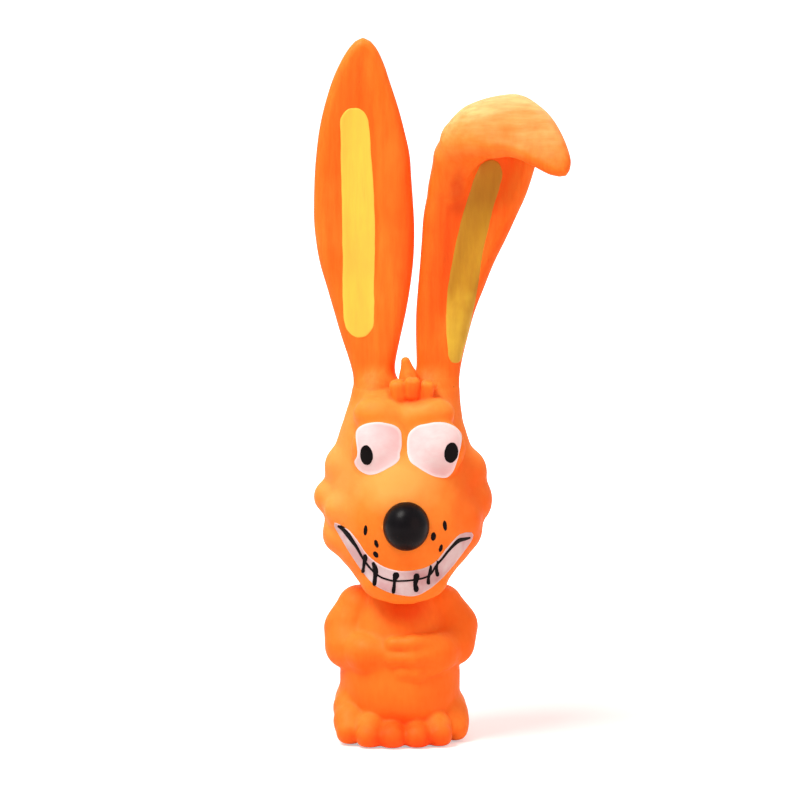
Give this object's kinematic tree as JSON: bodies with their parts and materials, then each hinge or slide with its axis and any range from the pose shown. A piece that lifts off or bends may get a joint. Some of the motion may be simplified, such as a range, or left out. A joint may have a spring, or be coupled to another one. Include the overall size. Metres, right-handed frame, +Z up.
{
  "type": "squeaky dog toy",
  "caption": "Standing latex rabbit dog toy with one straight and one folded ear, a toothy grin, a back that gives under a squeeze and a reed squeaker in the base.",
  "frame": {"origin": "on the flat base where the toy stands, under the middle of the body, just in front of the squeaker", "axes": "+Z up to the ears, the face towards -Y, the rabbit's own left towards +X"},
  "size_m": [0.0876, 0.0592, 0.2406],
  "materials": {
    "latex_skin": "matte",
    "latex_fold": "matte",
    "paint_white": "satin",
    "paint_black": "satin",
    "paint_yellow": "matte",
    "paint_olive": "matte",
    "squeaker_plastic": "satin",
    "reed_brass": "satin"
  },
  "bodies": {
    "body": {"body_skin": "latex_skin", "right_arm": "latex_skin", "left_arm": "latex_skin", "right_foot": "latex_skin", "left_foot": "latex_skin", "tail": "latex_skin", "squeaker_cup": "squeaker_plastic", "squeaker_cap": "squeaker_plastic", "reed_carrier": "squeaker_plastic", "reed_wedge": "squeaker_plastic"},
    "squeeze_panel": {"squeeze_panel": "latex_skin"},
    "head": {"head_skin": "latex_skin", "hair_tuft": "latex_skin", "nose": "paint_black", "right_eye": "paint_white", "left_eye": "paint_white", "right_pupil": "paint_black", "left_pupil": "paint_black", "teeth": "paint_white"},
    "straight_ear": {"straight_ear": "latex_skin", "straight_ear_stripe": "paint_yellow"},
    "folded_ear": {"folded_ear": "latex_skin", "folded_ear_stripe": "paint_olive"},
    "folded_ear_tip": {"folded_ear_tip": "latex_fold"},
    "reed": {"reed": "reed_brass"}
  },
  "joints": [
    {"name": "head_nod", "type": "hinge", "parent": "body", "child": "head", "pos_m": [0, 0.006, 0.054], "axis": [1, 0, 0], "range_deg": [-15, 10], "stiffness_Nm_per_rad": 0.8},
    {"name": "straight_ear_bend", "type": "hinge", "parent": "head", "child": "straight_ear", "pos_m": [-0.0088, 0.006, 0.12396], "axis": [1, 0, 0], "range_deg": [-40, 40], "stiffness_Nm_per_rad": 0.15},
    {"name": "folded_ear_bend", "type": "hinge", "parent": "head", "child": "folded_ear", "pos_m": [0.013, 0.006, 0.12396], "axis": [1, 0, 0], "range_deg": [-40, 40], "stiffness_Nm_per_rad": 0.15},
    {"name": "folded_ear_tip_bend", "type": "hinge", "parent": "folded_ear", "child": "folded_ear_tip", "pos_m": [0.02966, 0.00282, 0.21471], "axis": [0.9511, 0, 0.309], "range_deg": [-25, 12], "stiffness_Nm_per_rad": 0.08},
    {"name": "back_squeeze", "type": "slide", "parent": "body", "child": "squeeze_panel", "axis": [0, -1, 0], "range_m": [0, 0.008], "stiffness_N_per_m": 700},
    {"name": "reed_flutter", "type": "hinge", "parent": "body", "child": "reed", "pos_m": [0, 0.00903, 0.0203], "axis": [1, 0, 0], "range_deg": [-1, 6], "stiffness_Nm_per_rad": 0.00002}
  ]
}
